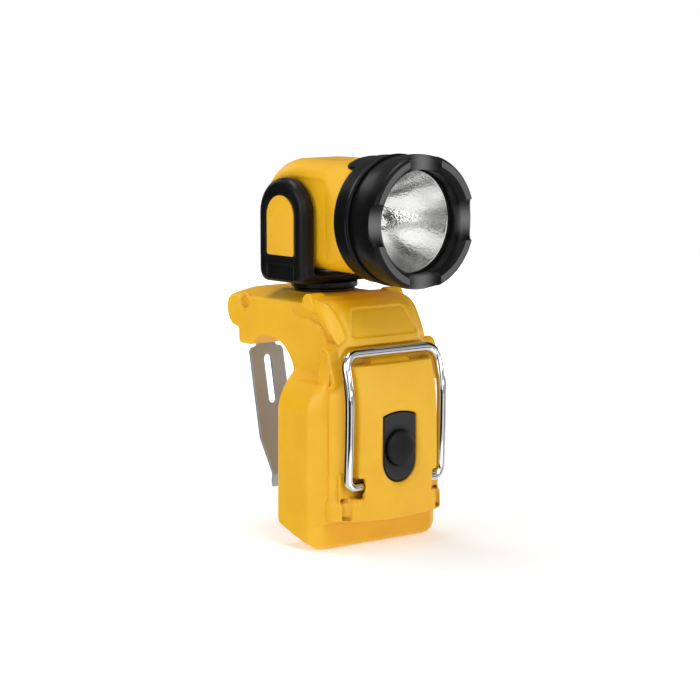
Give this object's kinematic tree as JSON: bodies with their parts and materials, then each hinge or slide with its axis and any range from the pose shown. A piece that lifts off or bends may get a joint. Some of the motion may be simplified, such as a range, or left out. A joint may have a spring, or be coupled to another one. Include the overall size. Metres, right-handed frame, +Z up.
{
  "type": "pivoting-head work light",
  "caption": "Cordless work light with a turning and tilting round head, a hook and belt clip behind the body, a fold-down wire bail and a push switch in front.",
  "frame": {"origin": "on the base face under the battery case, in the middle of its width", "axes": "+Z up, -Y towards the front with the switch and the lens, +X to the right as seen from the front"},
  "size_m": [0.072, 0.1116, 0.1696],
  "materials": {
    "yellow_plastic": "satin moulded plastic",
    "black_plastic": "fine satin",
    "grey_plastic": "matt",
    "black_rubber": "soft matt",
    "satin_steel": "satin",
    "chrome_wire": "polished",
    "zinc_steel": "zinc plated",
    "reflector_silver": "polished, stippled",
    "clear_lens": "clear",
    "board_green": "solder mask",
    "cell_jacket": "printed sleeve, bare",
    "contact_brass": "plain",
    "nylon": "natural"
  },
  "bodies": {
    "body": {"rear_housing": "yellow_plastic", "front_cover": "yellow_plastic", "cell_tray": "black_plastic", "micro_switch": "black_plastic", "switch_plate": "grey_plastic", "belt_clip": "satin_steel", "swivel_washer": "satin_steel", "spring_washer": "satin_steel", "hinge_pin": "zinc_steel", "catch_leaf": "zinc_steel", "cover_screw_1": "zinc_steel", "cover_screw_2": "zinc_steel", "cover_screw_3": "zinc_steel", "cover_screw_4": "zinc_steel", "clip_screw_1": "zinc_steel", "clip_screw_2": "zinc_steel", "circuit_board": "board_green", "round_cell_1": "cell_jacket", "round_cell_2": "cell_jacket", "round_cell_3": "cell_jacket", "round_cell_4": "cell_jacket", "upper_contact_left": "contact_brass", "upper_contact_right": "contact_brass", "lower_contact": "contact_brass"},
    "turret": {"turntable": "black_plastic", "swivel_spindle": "zinc_steel", "retaining_ring": "zinc_steel", "yoke": "black_plastic", "label_plate_left": "yellow_plastic", "label_plate_right": "yellow_plastic", "pivot_pin_left": "zinc_steel", "pivot_pin_right": "zinc_steel", "tilt_washer_left": "nylon", "tilt_washer_right": "nylon"},
    "head": {"head_housing": "yellow_plastic", "collar_ring": "black_plastic", "bezel": "black_plastic", "lens": "clear_lens", "lens_gasket": "black_rubber", "reflector": "reflector_silver", "lamp_holder": "black_plastic", "bulb": "clear_lens"},
    "door": {"battery_door": "yellow_plastic"},
    "bail": {"wire_bail": "chrome_wire"},
    "button": {"switch_button": "black_rubber"},
    "plunger": {"switch_plunger": "nylon"}
  },
  "joints": [
    {"name": "head_swivel", "type": "hinge", "parent": "body", "child": "turret", "pos_m": [0, 0.015, 0.1076], "axis": [0, 0, 1], "range_deg": [-165, 165]},
    {"name": "head_tilt", "type": "hinge", "parent": "turret", "child": "head", "pos_m": [0, 0.015, 0.1417], "axis": [-1, 0, 0], "range_deg": [-4, 90]},
    {"name": "bail_swing", "type": "hinge", "parent": "body", "child": "bail", "pos_m": [0, -0.032, 0.0282], "axis": [1, 0, 0], "range_deg": [0, 150]},
    {"name": "switch_press", "type": "slide", "parent": "body", "child": "button", "axis": [0, 1, 0], "range_m": [0, 0.0018], "stiffness_N_per_m": 400},
    {"name": "plunger_press", "type": "slide", "parent": "body", "child": "plunger", "axis": [0, 1, 0], "range_m": [0, 0.0018]},
    {"name": "door_hinge", "type": "hinge", "parent": "body", "child": "door", "pos_m": [0, 0.0029, 0.0121], "axis": [-1, 0, 0], "range_deg": [0, 48]}
  ],
  "couplings": [
    {"joint": "plunger_press", "follows": "switch_press", "ratio": 1}
  ]
}
